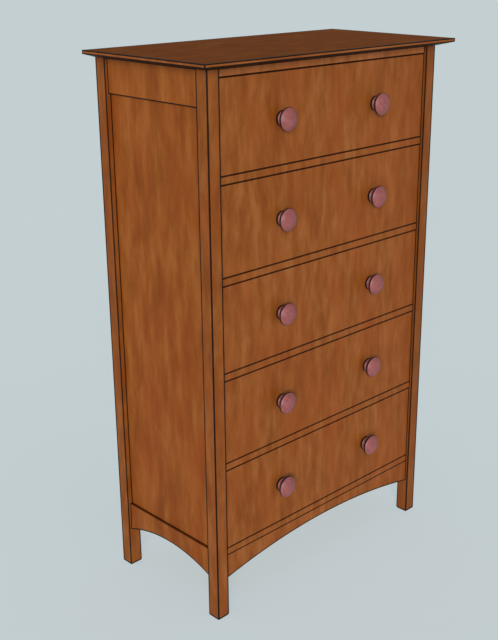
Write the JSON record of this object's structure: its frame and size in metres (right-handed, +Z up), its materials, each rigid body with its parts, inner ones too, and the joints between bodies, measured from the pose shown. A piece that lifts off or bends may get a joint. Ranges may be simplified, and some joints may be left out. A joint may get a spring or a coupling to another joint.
{
  "type": "chest of drawers",
  "caption": "Tall chest of drawers on square legs, with inset drawers, turned wooden knobs, framed side panels, arched lower rails and an overhanging top.",
  "frame": {"origin": "on the floor, under the middle of the top", "axes": "+Z up, -Y the way the drawers open, +X to the right for a person facing the drawers"},
  "size_m": [0.921, 0.457, 1.4722],
  "materials": {
    "case_wood": "satin oiled, warm brown",
    "top_wood": "satin oiled, dark brown",
    "inside_wood": "planed, pale",
    "knob_wood": "turned and polished, rose",
    "screw_steel": "zinc plated"
  },
  "bodies": {
    "case": {"top": "top_wood", "post_front_left": "case_wood", "post_front_right": "case_wood", "post_rear_left": "case_wood", "post_rear_right": "case_wood", "side_top_rail_left": "case_wood", "side_top_rail_right": "case_wood", "side_bottom_rail_left": "case_wood", "side_bottom_rail_right": "case_wood", "side_panel_left": "case_wood", "side_panel_right": "case_wood", "back_top_rail": "case_wood", "back_bottom_rail": "case_wood", "back_muntin": "case_wood", "back_panel_left": "case_wood", "back_panel_right": "case_wood", "front_top_rail": "case_wood", "divider_1": "case_wood", "divider_2": "case_wood", "divider_3": "case_wood", "divider_4": "case_wood", "bottom_divider": "case_wood", "front_apron": "case_wood", "rear_dividers": "inside_wood", "drawer_runners": "inside_wood", "drawer_guides": "inside_wood", "kickers": "inside_wood", "drawer_stops": "inside_wood", "top_screws": "screw_steel"},
    "drawer_1": {"drawer_1_front": "case_wood", "drawer_1_side_left": "inside_wood", "drawer_1_side_right": "inside_wood", "drawer_1_back": "inside_wood", "drawer_1_bottom": "inside_wood", "drawer_1_knobs": "knob_wood"},
    "drawer_2": {"drawer_2_front": "case_wood", "drawer_2_side_left": "inside_wood", "drawer_2_side_right": "inside_wood", "drawer_2_back": "inside_wood", "drawer_2_bottom": "inside_wood", "drawer_2_knobs": "knob_wood"},
    "drawer_3": {"drawer_3_front": "case_wood", "drawer_3_side_left": "inside_wood", "drawer_3_side_right": "inside_wood", "drawer_3_back": "inside_wood", "drawer_3_bottom": "inside_wood", "drawer_3_knobs": "knob_wood"},
    "drawer_4": {"drawer_4_front": "case_wood", "drawer_4_side_left": "inside_wood", "drawer_4_side_right": "inside_wood", "drawer_4_back": "inside_wood", "drawer_4_bottom": "inside_wood", "drawer_4_knobs": "knob_wood"},
    "drawer_5": {"drawer_5_front": "case_wood", "drawer_5_side_left": "inside_wood", "drawer_5_side_right": "inside_wood", "drawer_5_back": "inside_wood", "drawer_5_bottom": "inside_wood", "drawer_5_knobs": "knob_wood"}
  },
  "joints": [
    {"name": "drawer_1_slide", "type": "slide", "parent": "case", "child": "drawer_1", "axis": [0, -1, 0], "range_m": [0, 0.28]},
    {"name": "drawer_2_slide", "type": "slide", "parent": "case", "child": "drawer_2", "axis": [0, -1, 0], "range_m": [0, 0.28]},
    {"name": "drawer_3_slide", "type": "slide", "parent": "case", "child": "drawer_3", "axis": [0, -1, 0], "range_m": [0, 0.28]},
    {"name": "drawer_4_slide", "type": "slide", "parent": "case", "child": "drawer_4", "axis": [0, -1, 0], "range_m": [0, 0.28]},
    {"name": "drawer_5_slide", "type": "slide", "parent": "case", "child": "drawer_5", "axis": [0, -1, 0], "range_m": [0, 0.28]}
  ]
}
